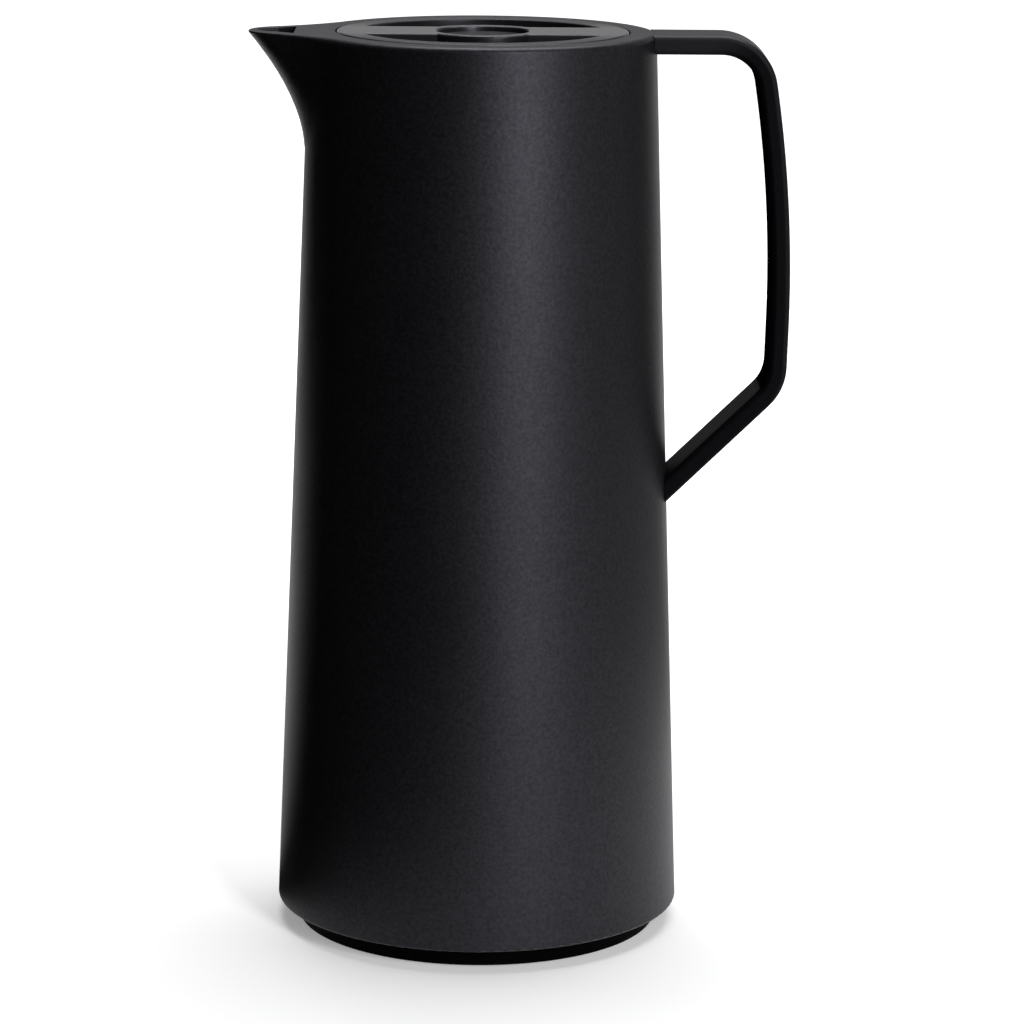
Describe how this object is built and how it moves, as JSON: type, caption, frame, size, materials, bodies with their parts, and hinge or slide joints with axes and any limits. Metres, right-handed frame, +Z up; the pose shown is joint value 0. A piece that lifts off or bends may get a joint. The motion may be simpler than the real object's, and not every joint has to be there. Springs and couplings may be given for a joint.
{
  "type": "thermal carafe",
  "caption": "Tapered thermal carafe with a pouring beak, strap handle, glass vacuum liner and a flush twist-out stopper with a press-to-pour button.",
  "frame": {"origin": "on the body's axis, at the level of the surface that the foot stands on", "axes": "+Z up along the body's axis, +X towards the handle, -X towards the spout"},
  "size_m": [0.1655, 0.1256, 0.2792],
  "materials": {
    "textured_black": "matte black plastic with a fine spark-eroded grain",
    "lid_black": "smooth satin black plastic",
    "inner_black": "smooth black food-safe plastic",
    "plinth_black": "deep black satin plastic",
    "foot_rubber": "matte black non-slip rubber",
    "silicone": "grey food-safe silicone",
    "silvered_glass": "blown glass silvered on its vacuum side",
    "spacer_ceramic": "pale ceramic fibre",
    "steel": "plain stainless steel"
  },
  "bodies": {
    "carafe": {"outer_shell": "textured_black", "handle": "textured_black", "handle_screw": "steel", "handle_washer": "steel", "spout_trough": "inner_black", "pour_collar": "inner_black", "base_cap": "plinth_black", "foot_pad": "foot_rubber", "outer_flask": "silvered_glass", "inner_flask": "silvered_glass", "flask_spacers": "spacer_ceramic", "liner_cushion": "foot_rubber", "neck_gasket": "silicone"},
    "stopper_core": {"plug_cup": "inner_black", "plug_seal": "silicone", "plug_retainer": "inner_black"},
    "lid": {"lid_top": "lid_black", "lid_skirt": "inner_black", "lid_screws": "steel", "lid_seal": "silicone", "stem_seal": "silicone", "spring_seat": "steel", "button_spring": "steel"},
    "button": {"button_cap": "lid_black", "valve_stem": "inner_black", "valve_disc": "inner_black", "valve_seal": "silicone", "valve_nut": "steel"}
  },
  "joints": [
    {"name": "stopper_lift", "type": "slide", "parent": "carafe", "child": "stopper_core", "axis": [0, 0, 1], "range_m": [0, 0.09]},
    {"name": "lid_twist", "type": "hinge", "parent": "stopper_core", "child": "lid", "pos_m": [0, 0, 0.268], "axis": [0, 0, 1], "range_deg": [0, 90]},
    {"name": "button_press", "type": "slide", "parent": "lid", "child": "button", "axis": [0, 0, -1], "range_m": [0, 0.004], "stiffness_N_per_m": 900, "springref_m": -0.004, "deforming": ["button_spring"]}
  ]
}
